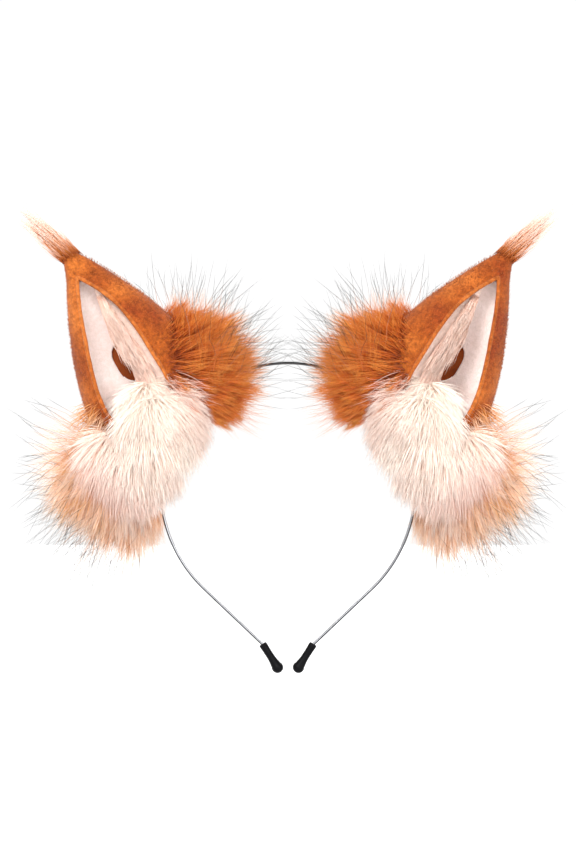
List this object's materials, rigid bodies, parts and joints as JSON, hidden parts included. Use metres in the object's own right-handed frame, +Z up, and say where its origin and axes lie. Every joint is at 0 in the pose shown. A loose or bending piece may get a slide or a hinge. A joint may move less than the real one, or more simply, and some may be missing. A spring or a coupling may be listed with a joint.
{
  "type": "animal ears headband",
  "caption": "Springy wire hair band with rubber ball tips and upright fox-like fur ears that slide and turn on the wire.",
  "frame": {"origin": "inner side of the wire at the crown, where the band rests on the head", "axes": "+Z up, X across the head, the wearer faces -Y; the ears' mouths face -Y"},
  "size_m": [0.2368, 0.0665, 0.214],
  "materials": {
    "wire": "polished",
    "rubber_tip": "satin",
    "felt": "matte",
    "thread": "satin",
    "plush": "matte",
    "stiffener": "matte",
    "lining": "matte",
    "cream_fur": "satin",
    "orange_fur": "satin",
    "peach_fur": "satin"
  },
  "bodies": {
    "crown": {"crown_wire": "wire"},
    "left_arm": {"left_wire_arm": "wire", "left_end_cap": "rubber_tip"},
    "left_sleeve": {"left_wire_sleeve": "felt", "left_sleeve_stitching": "thread"},
    "left_ear": {"left_ear_shell": "plush", "left_ear_stiffener": "stiffener", "left_ear_lining": "lining", "left_inner_fold": "lining", "left_base_pad": "felt", "left_inner_tuft": "cream_fur", "left_cheek_fur": "peach_fur", "left_crown_fur": "orange_fur", "left_tip_tuft": "peach_fur"},
    "right_arm": {"right_wire_arm": "wire", "right_end_cap": "rubber_tip"},
    "right_sleeve": {"right_wire_sleeve": "felt", "right_sleeve_stitching": "thread"},
    "right_ear": {"right_ear_shell": "plush", "right_ear_stiffener": "stiffener", "right_ear_lining": "lining", "right_inner_fold": "lining", "right_base_pad": "felt", "right_inner_tuft": "cream_fur", "right_cheek_fur": "peach_fur", "right_crown_fur": "orange_fur", "right_tip_tuft": "peach_fur"}
  },
  "joints": [
    {"name": "left_band_flex", "type": "hinge", "parent": "crown", "child": "left_arm", "pos_m": [-0.02375, 0, -0.0044], "axis": [0, 1, 0], "range_deg": [0, 18], "stiffness_Nm_per_rad": 0.6},
    {"name": "left_ear_slide", "type": "hinge", "parent": "left_arm", "child": "left_sleeve", "pos_m": [0, 0, -0.05775], "axis": [0, 1, 0], "range_deg": [-8, 8]},
    {"name": "left_ear_turn", "type": "hinge", "parent": "left_sleeve", "child": "left_ear", "pos_m": [-0.04953, 0, -0.0268], "axis": [0.5299, 0, 0.848], "range_deg": [-15, 15]},
    {"name": "right_band_flex", "type": "hinge", "parent": "crown", "child": "right_arm", "pos_m": [0.02375, 0, -0.0044], "axis": [0, -1, 0], "range_deg": [0, 18], "stiffness_Nm_per_rad": 0.6},
    {"name": "right_ear_slide", "type": "hinge", "parent": "right_arm", "child": "right_sleeve", "pos_m": [0, 0, -0.05775], "axis": [0, -1, 0], "range_deg": [-8, 8]},
    {"name": "right_ear_turn", "type": "hinge", "parent": "right_sleeve", "child": "right_ear", "pos_m": [0.04953, 0, -0.0268], "axis": [-0.5299, 0, 0.848], "range_deg": [-15, 15]}
  ]
}
